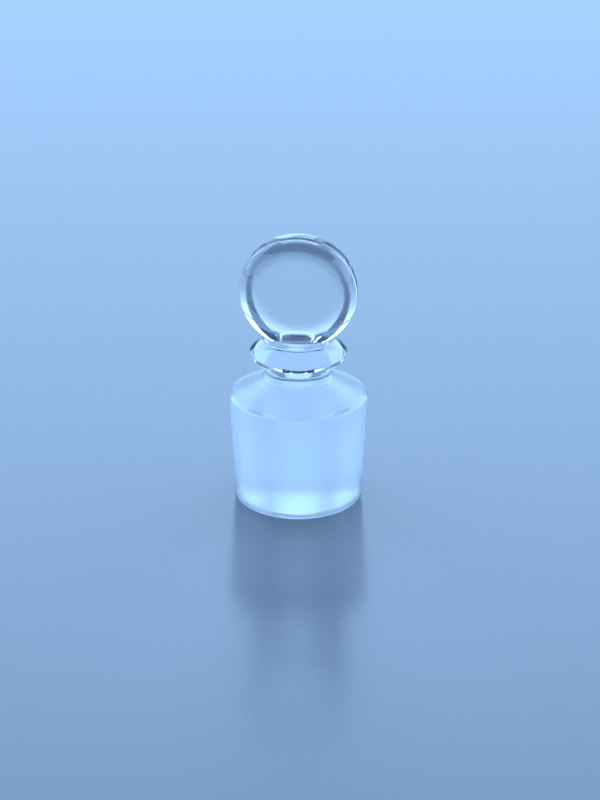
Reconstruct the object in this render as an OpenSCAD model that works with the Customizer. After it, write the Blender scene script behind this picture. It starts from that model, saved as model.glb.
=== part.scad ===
// Glass stopper with a ground conical plug, a conical collar and an upright round grip.
//
// The stopper is one piece of glass that stands on its plug. The origin is the centre of
// the plug's flat rim, +Z runs up the axis to the grip, and the grip's faces look along Y.

/* [Ground plug] */
// Diameter at the large end of the ground cone
plug_large_d = 24; // [20:0.5:32]
// Length of the ground cone along the axis
plug_length = 19.4; // [14:0.2:30]
// Axial length over which the cone's diameter changes by one
cone_ratio = 10; // [8:0.5:20]
// Radius of the round on the plug's bottom edge
bottom_edge_r = 0.9; // [0.2:0.1:1.2]

/* [Underside] */
// Width of the rim that the stopper stands on, from the recess to the side
rim_w = 3.1; // [1.8:0.1:4]
// Depth of the shallow recess inside the rim
recess_depth = 0.35; // [0.2:0.05:0.8]
// Width of the sloping side of the recess
recess_side_w = 0.7; // [0.3:0.1:1.5]

/* [Shoulder and neck] */
// Height of the sloping shoulder above the ground cone
shoulder_h = 3.4; // [2:0.1:5]
// Radius of the round between the plug and the shoulder
shoulder_edge_r = 0.5; // [0.3:0.1:2]
// Diameter of the neck under the collar
neck_d = 11.6; // [10:0.2:14]
// Height of the straight part of the neck
neck_h = 1.9; // [0.8:0.1:3]
// Radius of the hollow round at the foot of the neck
neck_root_r = 0.5; // [0.2:0.1:0.7]

/* [Collar] */
// Diameter of the collar at its rim
collar_d = 17; // [15.6:0.2:19]
// Height of the sloping underside of the collar
collar_under_h = 1.8; // [0.8:0.1:3]
// Height of the collar's rim
collar_rim_h = 0.9; // [0.8:0.1:2]
// Distance by which the rim's lower edge lies inside its upper edge
collar_rim_lean = 0.4; // [0.1:0.1:0.8]
// Radius of the rounds on the collar's edges
collar_edge_r = 0.35; // [0.1:0.05:0.4]
// Height of the conical top of the collar, from its rim to the seat of the grip
collar_top_h = 2.6; // [1:0.1:5]
// Diameter of the flat seat on top of the collar, which carries the grip
seat_d = 12.4; // [10.4:0.2:14]
// Radius of the round on the seat's edge
seat_edge_r = 0.4; // [0.2:0.1:0.6]

/* [Grip] */
// Diameter of the round grip
grip_d = 20.4; // [17:0.2:28]
// Thickness of the grip between its flat faces
grip_t = 7.4; // [5.8:0.2:8.6]
// Radius of the round along the grip's edge
grip_edge_r = 3.2; // [1:0.1:3.5]
// Depth to which the grip's round outline sinks below the seat
grip_sink = 1.6; // [1:0.1:3]
// Radius of the hollow round where the grip's faces meet the seat
grip_root_r = 0.8; // [0.4:0.1:1.6]

/* [Hidden] */
$fn = 96;
// Number of short steps that make one rounded corner
corner_steps = 8;
// Overlap that lets one shape run into the next
overlap = 0.01;

plug_large_r = plug_large_d / 2;
plug_small_r = plug_large_r - plug_length / cone_ratio / 2;
recess_r = plug_small_r - rim_w;
neck_r = neck_d / 2;
neck_z = plug_length + shoulder_h;
collar_r = collar_d / 2;
collar_under_z = neck_z + neck_h;
collar_rim_z = collar_under_z + collar_under_h;
collar_top_z = collar_rim_z + collar_rim_h;
seat_r = seat_d / 2;
seat_z = collar_top_z + collar_top_h;
grip_r = grip_d / 2;
grip_z = seat_z - grip_sink + grip_r;

// One point on a circle about centre, at an angle in degrees
function on_circle(centre, radius, angle) = centre + radius * [cos(angle), sin(angle)];

// The turn from one angle to another by the shorter way round
function short_turn(from, to) = (to - from + 540) % 360 - 180;

// The points that round the corner at here, between the points before and after
function rounded_corner(before, here, after, radius) =
    let(
        to_before = (before - here) / norm(before - here),
        to_after = (after - here) / norm(after - here),
        half_angle = acos(to_before * to_after) / 2,
        inward = (to_before + to_after) / norm(to_before + to_after),
        centre = here + inward * radius / sin(half_angle),
        first = here + to_before * radius / tan(half_angle) - centre,
        last = here + to_after * radius / tan(half_angle) - centre,
        start = atan2(first.y, first.x),
        turn = short_turn(start, atan2(last.y, last.x))
    )
    [for (i = [0:corner_steps]) on_circle(centre, radius, start + turn * i / corner_steps)];

// The outline through a list of corners, each [x, y, radius of its round]
function rounded_outline(corners) =
    let(count = len(corners), at = function(i) [corners[i].x, corners[i].y])
    [
        for (i = [0:count - 1])
            each (corners[i].z == 0)
                ? [at(i)]
                : rounded_corner(at((i + count - 1) % count), at(i), at((i + 1) % count), corners[i].z)
    ];

// Half of the section of everything below the grip, turned about the axis
module turned_body() {
    rotate_extrude()
        polygon(rounded_outline([
            [0, recess_depth, 0],
            [recess_r - recess_side_w, recess_depth, recess_depth],
            [recess_r, 0, 0],
            [plug_small_r, 0, bottom_edge_r],
            [plug_large_r, plug_length, shoulder_edge_r],
            [neck_r, neck_z, neck_root_r],
            [neck_r, collar_under_z, collar_edge_r],
            [collar_r - collar_rim_lean, collar_rim_z, collar_edge_r],
            [collar_r, collar_top_z, collar_edge_r],
            [seat_r, seat_z, seat_edge_r],
            [0, seat_z, 0],
        ]));
}

// The round grip, with flat faces and a rounded edge
module grip_disc() {
    translate([0, 0, grip_z])
        rotate([90, 0, 0])
            rotate_extrude()
                polygon(rounded_outline([
                    [0, -grip_t / 2, 0],
                    [grip_r, -grip_t / 2, grip_edge_r],
                    [grip_r, grip_t / 2, grip_edge_r],
                    [0, grip_t / 2, 0],
                ]));
}

// The hollow round between the grip's faces and the seat
module grip_root() {
    foot = grip_t / 2 + grip_root_r;
    crest = seat_z + grip_root_r;
    outline = concat(
        [[-foot, seat_z - overlap]],
        [for (a = [0:90 / corner_steps:90]) on_circle([-foot, crest], grip_root_r, a - 90)],
        [for (a = [0:90 / corner_steps:90]) on_circle([foot, crest], grip_root_r, a - 180)],
        [[foot, seat_z - overlap]]
    );
    root_h = grip_root_r + 2 * overlap;
    intersection() {
        rotate([90, 0, 90])
            translate([0, 0, -seat_r])
                linear_extrude(seat_d)
                    polygon(outline);
        translate([0, 0, seat_z - overlap])
            cylinder(r = seat_r - seat_edge_r, h = root_h);
        translate([0, seat_r, grip_z])
            rotate([90, 0, 0])
                cylinder(r = grip_r, h = seat_d);
    }
}

module stopper() {
    color("lightcyan", 0.6)
        union() {
            turned_body();
            grip_root();
            grip_disc();
        }
}

stopper();
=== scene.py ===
"""Glass stopper: a ground conical plug, a slightly matt shoulder, a clear neck and collar, a round grip.

The stopper is one piece of glass. Its mesh follows the CAD node, so it stands on the plug's flat rim
at the origin, +Z runs up the axis, and the flat faces of the grip look along Y.
"""

import logging
import math
from dataclasses import dataclass
from dataclasses import field
from enum import Enum
from typing import Any

import bmesh
import bpy
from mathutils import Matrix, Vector
from mathutils.kdtree import KDTree


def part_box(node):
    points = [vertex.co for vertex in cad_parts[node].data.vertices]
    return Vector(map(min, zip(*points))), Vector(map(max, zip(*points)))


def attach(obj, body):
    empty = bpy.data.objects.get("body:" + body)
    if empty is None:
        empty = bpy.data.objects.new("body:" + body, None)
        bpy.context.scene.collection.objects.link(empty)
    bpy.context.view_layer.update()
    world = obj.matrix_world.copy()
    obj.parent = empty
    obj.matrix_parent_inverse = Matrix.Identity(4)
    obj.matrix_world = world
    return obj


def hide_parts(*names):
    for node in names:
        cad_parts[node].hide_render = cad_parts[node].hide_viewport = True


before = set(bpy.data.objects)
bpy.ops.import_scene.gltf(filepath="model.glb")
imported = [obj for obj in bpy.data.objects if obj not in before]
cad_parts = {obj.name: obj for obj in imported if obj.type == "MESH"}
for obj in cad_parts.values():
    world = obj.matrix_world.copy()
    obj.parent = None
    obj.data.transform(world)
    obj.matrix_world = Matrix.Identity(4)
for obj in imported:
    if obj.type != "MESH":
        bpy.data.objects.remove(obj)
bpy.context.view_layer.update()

MM = 0.001
SPIN_WELD = 0.0005 * MM
JOIN_WELD = 0.002 * MM
SHARP_ANGLE = math.radians(38)
CREASE_ANGLE = math.radians(25)
LOG = logging.getLogger("glass_stopper")


class Axis(Enum):
    """The axes that the turned shapes spin about."""

    UPRIGHT = (0.0, 0.0, 1.0)
    ACROSS = (0.0, 1.0, 0.0)


class Surface(Enum):
    """The two surfaces of the glass, by their material slot on the mesh."""

    CLEAR = 0
    GROUND = 1


# ---------------------------------------------------------------------------------------------
# Shader expressions


class Link:
    """A number in a shader: a node's output, with Python's operators."""

    def __init__(self, graph: "Graph", socket: bpy.types.NodeSocket) -> None:
        """Keeps the output socket and the graph that it belongs to."""
        self.graph = graph
        self.socket = socket

    def maths(self, operation: str, *values: Any) -> "Link":
        """Adds one Math node.

        Args:
            operation: The Math node's operation.
            values: Numbers or links, in the order of the node's sockets.

        Returns:
            The node's result.
        """
        node = self.graph.node("ShaderNodeMath", {"operation": operation}, dict(enumerate(values)))
        return Link(self.graph, node.outputs[0])

    def __add__(self, other: Any) -> "Link":
        """Gives self + other."""
        return self.maths("ADD", self, other)

    def __radd__(self, other: Any) -> "Link":
        """Gives other + self."""
        return self.maths("ADD", other, self)

    def __sub__(self, other: Any) -> "Link":
        """Gives self - other."""
        return self.maths("SUBTRACT", self, other)

    def __rsub__(self, other: Any) -> "Link":
        """Gives other - self."""
        return self.maths("SUBTRACT", other, self)

    def __mul__(self, other: Any) -> "Link":
        """Gives self * other."""
        return self.maths("MULTIPLY", self, other)

    def __rmul__(self, other: Any) -> "Link":
        """Gives other * self."""
        return self.maths("MULTIPLY", other, self)

    def step(self, low: float, high: float) -> "Link":
        """Makes a smooth step.

        Args:
            low: The value where the step leaves 0.
            high: The value where it reaches 1.

        Returns:
            The step, from 0 to 1.
        """
        sockets = {"Value": self, "From Min": low, "From Max": high}
        node = self.graph.node("ShaderNodeMapRange", {"interpolation_type": "SMOOTHSTEP"}, sockets)
        return Link(self.graph, node.outputs["Result"])


class Graph:
    """The node tree of one material or of the world."""

    def __init__(self, tree: bpy.types.NodeTree) -> None:
        """Empties the tree and keeps it."""
        tree.nodes.clear()
        self.tree = tree

    def node(self, kind: str, settings: dict[str, Any], sockets: dict[Any, Any]) -> bpy.types.Node:
        """Adds one node.

        Args:
            kind: The node's type.
            settings: The node's own properties, which are set first; "stops" gives a ramp's stops.
            sockets: A value, a link or an output socket for each input, by name or by number.

        Returns:
            The new node.
        """
        made = self.tree.nodes.new(kind)
        for name, value in settings.items():
            if name == "stops":
                self._set_stops(made.color_ramp, value)
            else:
                setattr(made, name, value)
        for name, value in sockets.items():
            if isinstance(value, Link):
                value = value.socket
            if isinstance(value, bpy.types.NodeSocket):
                self.tree.links.new(value, made.inputs[name])
            else:
                made.inputs[name].default_value = value
        return made

    @staticmethod
    def _set_stops(ramp: bpy.types.ColorRamp, stops: list[tuple[float, tuple[float, ...]]]) -> None:
        """Gives a colour ramp its stops.

        Args:
            ramp: The ramp, which is changed.
            stops: The position and the colour of each stop.
        """
        while len(ramp.elements) > 1:
            ramp.elements.remove(ramp.elements[-1])
        ramp.elements[0].position, ramp.elements[0].color = stops[0]
        for position, colour in stops[1:]:
            ramp.elements.new(position).color = colour

    def place(self) -> bpy.types.NodeSocket:
        """Gives the Object coordinates, which are the frame's own metres."""
        return self.node("ShaderNodeTexCoord", {}, {}).outputs["Object"]

    def part(self, vector: bpy.types.NodeSocket, axis: str) -> Link:
        """Gives one component of a vector."""
        return Link(self, self.node("ShaderNodeSeparateXYZ", {}, {0: vector}).outputs[axis])

    def noise(self, vector: bpy.types.NodeSocket, scale: float, detail: float) -> Link:
        """Gives soft noise from 0 to 1 over a vector."""
        sockets = {"Vector": vector, "Scale": scale, "Detail": detail}
        return Link(self, self.node("ShaderNodeTexNoise", {}, sockets).outputs[0])

    def stretched(
        self, vector: bpy.types.NodeSocket, stretch: tuple[float, float, float]
    ) -> bpy.types.NodeSocket:
        """Gives a vector with each component multiplied."""
        node = self.node("ShaderNodeMapping", {}, {"Vector": vector, "Scale": stretch})
        return node.outputs["Vector"]

    def bump(self, height: Link, depth: float, strength: float) -> bpy.types.NodeSocket:
        """Gives the normal of a surface that a height lifts by at most depth, in metres."""
        sockets = {"Height": height, "Distance": depth, "Strength": strength}
        return self.node("ShaderNodeBump", {}, sockets).outputs["Normal"]

    def finish(self, shader: bpy.types.Node) -> None:
        """Joins a shader to the material's output."""
        self.node("ShaderNodeOutputMaterial", {}, {"Surface": shader.outputs[0]})


def new_material(name: str) -> tuple[bpy.types.Material, Graph]:
    """Makes an empty node material.

    Args:
        name: The material's name.

    Returns:
        The material and its graph.
    """
    material = bpy.data.materials.new(name)
    material.use_nodes = True
    return material, Graph(material.node_tree)


# ---------------------------------------------------------------------------------------------
# Finishes


@dataclass(frozen=True)
class ClearGlass:
    """Clear glass with the slight waves that pressing leaves in it, and a slightly matt shoulder.

    The matt stretch starts and ends softly, a little inside the shoulder's two edges; its three
    distances are in millimetres.
    """

    tint: tuple[float, float, float, float] = (0.975, 0.99, 1.0, 1.0)
    ior: float = 1.5
    wave_scale: float = 260.0
    wave_depth: float = 0.02 * MM
    wave_strength: float = 0.12
    wave_detail: float = 1.0
    shoulder_roughness: float = 0.3
    matt_start: float = 0.1
    matt_full: float = 0.5
    matt_fade: float = 0.4

    def material(self, edge_z: float, neck_z: float) -> bpy.types.Material:
        """Builds the node material.

        Args:
            edge_z: The height of the shoulder's lower edge, in millimetres.
            neck_z: The height of its upper edge. The shoulder between them is slightly matt.

        Returns:
            The material.
        """
        material, graph = new_material("clear_glass")
        place = graph.place()
        waves = graph.noise(place, self.wave_scale, self.wave_detail)
        height = graph.part(place, "Z")
        above_edge = height.step((edge_z + self.matt_start) * MM, (edge_z + self.matt_full) * MM)
        above_shoulder = height.step((neck_z - self.matt_fade) * MM, neck_z * MM)
        matt = above_edge * (1 - above_shoulder)
        shader = graph.node(
            "ShaderNodeBsdfPrincipled",
            {},
            {
                "Base Color": self.tint,
                "Roughness": matt * self.shoulder_roughness,
                "IOR": self.ior,
                "Transmission Weight": 1.0,
                "Normal": graph.bump(waves, self.wave_depth, self.wave_strength),
            },
        )
        graph.finish(shader)
        return material


@dataclass(frozen=True)
class GroundGlass:
    """Glass that is ground matt: light passes the rough skin and scatters, and fine rings run round it."""

    tint: tuple[float, float, float, float] = (0.93, 0.97, 1.0, 1.0)
    milk: tuple[float, float, float, float] = (0.90, 0.95, 1.0, 1.0)
    ior: float = 1.5
    roughness: float = 0.42
    roughness_spread: float = 0.10
    milk_share: float = 0.5
    milk_spread: float = 0.1
    grain_scale: float = 5200.0
    grain_detail: float = 2.0
    grain_weight: float = 0.6
    grain_depth: float = 0.012 * MM
    grain_strength: float = 0.5
    ring_scale: tuple[float, float, float] = (60.0, 60.0, 3600.0)
    ring_weight: float = 0.4

    def material(self) -> bpy.types.Material:
        """Builds the node material.

        Returns:
            The material.
        """
        material, graph = new_material("ground_glass")
        place = graph.place()
        grain = graph.noise(place, self.grain_scale, self.grain_detail)
        rings = graph.noise(graph.stretched(place, self.ring_scale), 1.0, self.grain_detail)
        relief = self.grain_weight * grain + self.ring_weight * rings
        normal = graph.bump(relief, self.grain_depth, self.grain_strength)
        rough = graph.node(
            "ShaderNodeBsdfPrincipled",
            {},
            {
                "Base Color": self.tint,
                "Roughness": (rings - 0.5) * self.roughness_spread + self.roughness,
                "IOR": self.ior,
                "Transmission Weight": 1.0,
                "Normal": normal,
            },
        )
        milk = graph.node("ShaderNodeBsdfTranslucent", {}, {"Color": self.milk, "Normal": normal})
        share = (grain - 0.5) * self.milk_spread + self.milk_share
        sockets = {0: share, 1: rough.outputs[0], 2: milk.outputs[0]}
        graph.finish(graph.node("ShaderNodeMixShader", {}, sockets))
        return material


@dataclass(frozen=True)
class FloorFinish:
    """A plain pale studio floor with a satin face."""

    colour: tuple[float, float, float, float] = (0.145, 0.155, 0.19, 1.0)
    roughness: float = 0.2
    ior: float = 1.5

    def material(self) -> bpy.types.Material:
        """Builds the node material.

        Returns:
            The material.
        """
        material, graph = new_material("pale_floor")
        shader = graph.node(
            "ShaderNodeBsdfPrincipled",
            {},
            {"Base Color": self.colour, "Roughness": self.roughness, "IOR": self.ior},
        )
        graph.finish(shader)
        return material


# ---------------------------------------------------------------------------------------------
# Turned shapes


@dataclass(frozen=True)
class Corner:
    """One corner of a turned outline: distance from the axis, height along it, and the round there."""

    out: float
    along: float
    round: float = 0.0


@dataclass
class Turning:
    """A shape turned from an outline of rounded corners, in millimetres."""

    corners: list[Corner]
    axis: Axis
    steps: int
    round_segments: int = 10

    def build(self) -> bmesh.types.BMesh:
        """Draws the outline, rounds its corners and spins it.

        Returns:
            The turned mesh in metres, with its doubles merged and its faces pointing out.
        """
        mesh = bmesh.new()
        corners = [mesh.verts.new(self._place(corner)) for corner in self.corners]
        for first, second in zip(corners, corners[1:]):
            mesh.edges.new((first, second))
        for vertex, corner in zip(corners, self.corners):
            if corner.round > 0:
                self._round(mesh, vertex, corner.round * MM)
        bmesh.ops.spin(
            mesh,
            geom=mesh.verts[:] + mesh.edges[:],
            axis=self.axis.value,
            cent=(0, 0, 0),
            angle=2 * math.pi,
            steps=self.steps,
            use_merge=True,
        )
        bmesh.ops.remove_doubles(mesh, verts=mesh.verts[:], dist=SPIN_WELD)
        bmesh.ops.recalc_face_normals(mesh, faces=mesh.faces[:])
        return mesh

    def _place(self, corner: Corner) -> Vector:
        """Gives a corner's place in metres, in the half plane on the +X side of the axis."""
        return (Vector((corner.out, 0, 0)) + Vector(self.axis.value) * corner.along) * MM

    def _round(self, mesh: bmesh.types.BMesh, vertex: bmesh.types.BMVert, radius: float) -> None:
        """Rounds one corner of the outline.

        Args:
            mesh: The mesh that holds the outline.
            vertex: The corner.
            radius: The radius of the round, in metres.
        """
        first, second = [edge.other_vert(vertex).co - vertex.co for edge in vertex.link_edges]
        bmesh.ops.bevel(
            mesh,
            geom=[vertex],
            offset=radius / math.tan(first.angle(second) / 2),
            offset_type="OFFSET",
            segments=self.round_segments,
            profile=0.5,
            affect="VERTICES",
            material=-1,
        )


def even_steps(start: float, end: float, count: int) -> list[float]:
    """Divides a range evenly.

    Args:
        start: One end of the range.
        end: The other end.
        count: The number of equal steps.

    Returns:
        The values between the steps, without the two ends.
    """
    return [start + (end - start) * step / count for step in range(1, count)]


# ---------------------------------------------------------------------------------------------
# The stopper


@dataclass(frozen=True)
class PlugSizes:
    """The ground plug and its shallow recess, in millimetres; the taper is a ratio."""

    length: float = 19.4
    taper: float = 1 / 10
    edge_round: float = 0.9
    rim_width: float = 3.1
    recess_depth: float = 0.35
    recess_side: float = 0.7


@dataclass(frozen=True)
class NeckSizes:
    """The shoulder, the neck and the conical collar with its flat seat, in millimetres."""

    shoulder_height: float = 3.4
    shoulder_round: float = 0.5
    neck_radius: float = 5.8
    neck_height: float = 1.9
    neck_round: float = 0.5
    collar_radius: float = 8.5
    collar_under: float = 1.8
    collar_rim: float = 0.9
    collar_lean: float = 0.4
    collar_round: float = 0.35
    collar_top: float = 2.6
    seat_radius: float = 6.2
    seat_round: float = 0.4


@dataclass(frozen=True)
class GripSizes:
    """The round grip, in millimetres, and how the corner at its root is softened.

    Each pass of the softening has its share of the reach and its number of smoothing rounds.
    """

    thickness: float = 7.4
    edge_round: float = 3.2
    sink: float = 1.6
    root_reach: float = 0.6
    root_search: float = 1.0
    root_passes: tuple[tuple[float, int], ...] = ((1.0, 4), (0.6, 4))


@dataclass
class Stopper:
    """The stopper: one closed skin of glass, clear above and ground on the plug.

    The ground finish ends at a share of the shoulder's edge round below the plug's top.
    """

    clear: ClearGlass = field(default_factory=ClearGlass)
    ground: GroundGlass = field(default_factory=GroundGlass)
    plug: PlugSizes = field(default_factory=PlugSizes)
    neck: NeckSizes = field(default_factory=NeckSizes)
    grip: GripSizes = field(default_factory=GripSizes)
    body_steps: int = 192
    grip_steps: int = 176
    seat_rings: int = 26
    face_rings: int = 8
    rim_segments: int = 14
    ground_end: float = 0.6

    def __post_init__(self) -> None:
        """Reads the overall sizes from the CAD node."""
        low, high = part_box("stopper")
        self.height = high.z / MM
        self.plug_large = high.x / MM
        self.plug_small = self.plug_large - self.plug.length * self.plug.taper / 2
        self.neck_z = self.plug.length + self.neck.shoulder_height
        self.collar_z = self.neck_z + self.neck.neck_height
        self.rim_z = self.collar_z + self.neck.collar_under
        self.top_z = self.rim_z + self.neck.collar_rim
        self.seat_z = self.top_z + self.neck.collar_top
        self.grip_radius = (self.height - self.seat_z + self.grip.sink) / 2
        self.grip_z = self.height - self.grip_radius

    def body(self) -> bmesh.types.BMesh:
        """Turns everything below the grip about the upright axis.

        Returns:
            The turned mesh, in metres in the frame.
        """
        plug, neck = self.plug, self.neck
        recess = self.plug_small - plug.rim_width
        outline = [
            Corner(0, plug.recess_depth),
            Corner(recess - plug.recess_side, plug.recess_depth, plug.recess_depth),
            Corner(recess, 0),
            Corner(self.plug_small, 0, plug.edge_round),
            Corner(self.plug_large, plug.length, neck.shoulder_round),
            Corner(neck.neck_radius, self.neck_z, neck.neck_round),
            Corner(neck.neck_radius, self.collar_z, neck.collar_round),
            Corner(neck.collar_radius - neck.collar_lean, self.rim_z, neck.collar_round),
            Corner(neck.collar_radius, self.top_z, neck.collar_round),
            Corner(neck.seat_radius, self.seat_z, neck.seat_round),
        ]
        rings = even_steps(neck.seat_radius - neck.seat_round, 0, self.seat_rings)
        outline += [Corner(ring, self.seat_z) for ring in rings] + [Corner(0, self.seat_z)]
        return Turning(outline, Axis.UPRIGHT, self.body_steps).build()

    def grip_disc(self) -> bmesh.types.BMesh:
        """Turns the round grip about the Y axis and lifts it to its place.

        Returns:
            The grip's mesh, in metres in the frame.
        """
        half, rounding = self.grip.thickness / 2, self.grip.edge_round
        flat = self.grip_radius - rounding
        rings = even_steps(0, flat, self.face_rings)
        outline = [Corner(0, -half)] + [Corner(ring, -half) for ring in rings]
        outline += [Corner(self.grip_radius, -half, rounding), Corner(self.grip_radius, half, rounding)]
        outline += [Corner(ring, half) for ring in reversed(rings)] + [Corner(0, half)]
        mesh = Turning(outline, Axis.ACROSS, self.grip_steps, self.rim_segments).build()
        bmesh.ops.translate(mesh, verts=mesh.verts[:], vec=(0, 0, self.grip_z * MM))
        return mesh

    def join(self, body: bpy.types.Object, grip: bpy.types.Object) -> bmesh.types.BMesh:
        """Melts the grip into the body, so that one closed skin is left.

        Args:
            body: The turned body, which keeps its object.
            grip: The grip, whose object is removed.

        Returns:
            The joined mesh.
        """
        union = body.modifiers.new("union", "BOOLEAN")
        union.operation = "UNION"
        union.solver = "EXACT"
        union.object = grip
        evaluated = body.evaluated_get(bpy.context.evaluated_depsgraph_get())
        mesh = bmesh.new()
        mesh.from_mesh(evaluated.to_mesh())
        evaluated.to_mesh_clear()
        body.modifiers.clear()
        bpy.data.objects.remove(grip)
        bmesh.ops.remove_doubles(mesh, verts=mesh.verts[:], dist=JOIN_WELD)
        bmesh.ops.dissolve_degenerate(mesh, edges=mesh.edges[:], dist=JOIN_WELD)
        return mesh

    def soften_root(self, mesh: bmesh.types.BMesh) -> None:
        """Rounds the hollow corner where the grip grows out of the seat, as fire polishing does.

        Args:
            mesh: The joined mesh, which is changed.
        """
        crease = [
            vertex
            for edge in mesh.edges
            if edge.is_manifold and not edge.is_convex and edge.calc_face_angle() > CREASE_ANGLE
            for vertex in edge.verts
            if abs(vertex.co.z - self.seat_z * MM) < self.grip.root_search * MM
        ]
        tree = KDTree(len(crease))
        for index, vertex in enumerate(crease):
            tree.insert(vertex.co, index)
        tree.balance()
        near = {vertex: tree.find(vertex.co)[2] for vertex in mesh.verts}
        for share, rounds in self.grip.root_passes:
            reach = self.grip.root_reach * share * MM
            inside = [vertex for vertex, gap in near.items() if gap < reach]
            for _ in range(rounds):
                bmesh.ops.smooth_vert(
                    mesh, verts=inside, factor=0.5, use_axis_x=True, use_axis_y=True, use_axis_z=True
                )
        bmesh.ops.recalc_face_normals(mesh, faces=mesh.faces[:])

    def dress(self, mesh: bmesh.types.BMesh) -> None:
        """Marks the ground faces: the cone and the flat rim that it stands on.

        Args:
            mesh: The joined mesh, whose faces get their surface.
        """
        recess = (self.plug_small - self.plug.rim_width) * MM
        ground_top = (self.plug.length - self.neck.shoulder_round * self.ground_end) * MM
        for face in mesh.faces:
            face.smooth = True
            centre = face.calc_center_median()
            out = math.hypot(centre.x, centre.y)
            is_cone = out > (self.plug_small - self.plug.edge_round) * MM and centre.z < ground_top
            is_rim = out > recess and centre.z < self.plug.edge_round * MM
            face.material_index = (Surface.GROUND if is_cone or is_rim else Surface.CLEAR).value

    def build(self) -> bpy.types.Object:
        """Makes the stopper and puts it on the frame.

        Returns:
            The finished object.
        """
        body = new_object("stopper_glass", self.body())
        grip = new_object("grip_glass", self.grip_disc())
        mesh = self.join(body, grip)
        self.soften_root(mesh)
        self.dress(mesh)
        mesh.to_mesh(body.data)
        mesh.free()
        body.data.materials.append(self.clear.material(self.plug.length, self.neck_z))
        body.data.materials.append(self.ground.material())
        body.data.set_sharp_from_angle(angle=SHARP_ANGLE)
        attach(body, "root")
        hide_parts("stopper")
        return body


def new_object(name: str, mesh: bmesh.types.BMesh) -> bpy.types.Object:
    """Makes an object at the origin from a bmesh, which is freed.

    Args:
        name: The object's name.
        mesh: The bmesh, in metres in the frame.

    Returns:
        The new object, linked to the scene.
    """
    data = bpy.data.meshes.new(name)
    mesh.to_mesh(data)
    mesh.free()
    made = bpy.data.objects.new(name, data)
    bpy.context.scene.collection.objects.link(made)
    return made


# ---------------------------------------------------------------------------------------------
# The studio


@dataclass(frozen=True)
class SoftLight:
    """A flat soft light: its heading from +Y towards +X, its rise and its half widths, all in degrees.

    The floor always sees it and the camera never does. Rays that pass through the glass see it only
    where seen_through_glass says so.
    """

    heading: float
    rise: float
    half_width: float
    half_height: float
    radiance: float
    seen_through_glass: bool = True
    distance: float = 1.2
    colour: tuple[float, float, float] = (0.42, 0.68, 1.0)


LIGHTS = {
    "light_back": SoftLight(-6, 20, 13, 15, 3.6),
    "light_left": SoftLight(-60, 24, 24, 22, 4.2),
    "light_right": SoftLight(48, 24, 24, 22, 4.2),
    "light_right_side": SoftLight(98, 20, 24, 18, 2.8, False),
    "light_right_front": SoftLight(148, 20, 24, 18, 1.4, False),
    "light_left_front": SoftLight(198, 20, 24, 18, 1.4, False),
    "light_left_side": SoftLight(248, 20, 24, 18, 2.8, False),
    "light_top": SoftLight(-6, 70, 24, 13, 5.5),
}


# The room's colour by height, from straight down at 0 through the horizon at 0.5 to overhead at 1.
ROOM_STOPS = [
    (0.0, (0.10, 0.20, 0.42, 1.0)),
    (0.50, (0.16, 0.30, 0.60, 1.0)),
    (0.56, (0.05, 0.10, 0.22, 1.0)),
    (1.0, (0.03, 0.06, 0.14, 1.0)),
]


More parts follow.
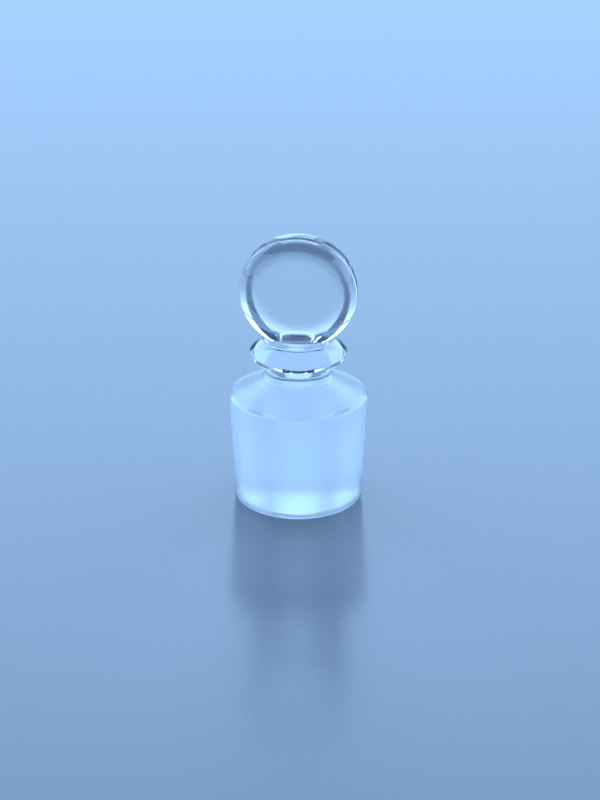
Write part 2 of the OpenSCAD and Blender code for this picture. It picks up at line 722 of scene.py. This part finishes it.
@dataclass
class Studio:
    """The floor, the soft lights, the surroundings and the camera."""

    floor: FloorFinish = field(default_factory=FloorFinish)
    floor_half: float = 3.0
    distance: float = 0.7
    azimuth: float = math.radians(6)
    elevation: float = math.radians(25.5)
    pitch: float = 0.4216
    lens: float = 179.1
    sensor: float = 36.0
    shift: float = 0.002
    near: float = 0.01

    def build_floor(self) -> bpy.types.Object:
        """Lays the plain floor under the stopper.

        Returns:
            The floor.
        """
        mesh = bmesh.new()
        bmesh.ops.create_grid(mesh, x_segments=1, y_segments=1, size=self.floor_half)
        floor = new_object("floor", mesh)
        floor.data.materials.append(self.floor.material())
        return floor

    def build_light(self, name: str, light: SoftLight) -> bpy.types.Object:
        """Hangs one soft light that faces the stopper.

        Args:
            name: The light's name.
            light: Its place, size and brightness.

        Returns:
            The light.
        """
        data = bpy.data.lights.new(name, "AREA")
        data.shape = "RECTANGLE"
        data.size = 2 * light.distance * math.tan(math.radians(light.half_width))
        data.size_y = 2 * light.distance * math.tan(math.radians(light.half_height))
        data.energy = light.radiance * math.pi * data.size * data.size_y
        data.color = light.colour
        made = bpy.data.objects.new(name, data)
        heading, rise = math.radians(light.heading), math.radians(light.rise)
        level = math.cos(rise)
        place = Vector((math.sin(heading) * level, math.cos(heading) * level, math.sin(rise)))
        made.location = place * light.distance
        made.rotation_euler = (-place).to_track_quat("-Z", "Y").to_euler()
        made.visible_camera = False
        made.visible_transmission = light.seen_through_glass
        bpy.context.scene.collection.objects.link(made)
        return made

    def build_world(self) -> None:
        """Surrounds the stopper with a blue room that is darker overhead."""
        world = bpy.data.worlds.new("room")
        bpy.context.scene.world = world
        world.use_nodes = True
        graph = Graph(world.node_tree)
        direction = graph.node("ShaderNodeTexCoord", {}, {}).outputs["Generated"]
        height = graph.part(direction, "Z") * 0.5 + 0.5
        ramp = graph.node("ShaderNodeValToRGB", {"stops": ROOM_STOPS}, {"Fac": height})
        glow = graph.node("ShaderNodeBackground", {}, {"Color": ramp.outputs[0], "Strength": 1.0})
        graph.node("ShaderNodeOutputWorld", {}, {"Surface": glow.outputs[0]})

    def build_camera(self) -> bpy.types.Object:
        """Sets the camera that looks slightly down on the stopper.

        Returns:
            The camera.
        """
        data = bpy.data.cameras.new("camera")
        data.sensor_fit = "VERTICAL"
        data.sensor_height = self.sensor
        data.lens = self.lens
        data.shift_x = self.shift
        data.clip_start = self.near
        camera = bpy.data.objects.new("camera", data)
        back = self.distance * math.cos(self.elevation)
        camera.location = (
            back * math.sin(self.azimuth),
            -back * math.cos(self.azimuth),
            self.distance * math.sin(self.elevation),
        )
        camera.rotation_euler = (math.pi / 2 - self.pitch, 0, self.azimuth)
        bpy.context.scene.collection.objects.link(camera)
        bpy.context.scene.camera = camera
        return camera

    def build(self) -> None:
        """Builds the whole studio."""
        self.build_camera()
        self.build_floor()
        self.build_world()
        bpy.context.scene.view_settings.view_transform = "Standard"
        for name, light in LIGHTS.items():
            self.build_light(name, light)


def main() -> None:
    """Builds the stopper and the studio."""
    logging.basicConfig(level=logging.INFO, format="%(name)s: %(message)s")
    stopper = Stopper().build()
    LOG.info("%s: %d faces", stopper.name, len(stopper.data.polygons))
    Studio().build()
    LOG.info("studio built")


if __name__ == "__main__":
    main()
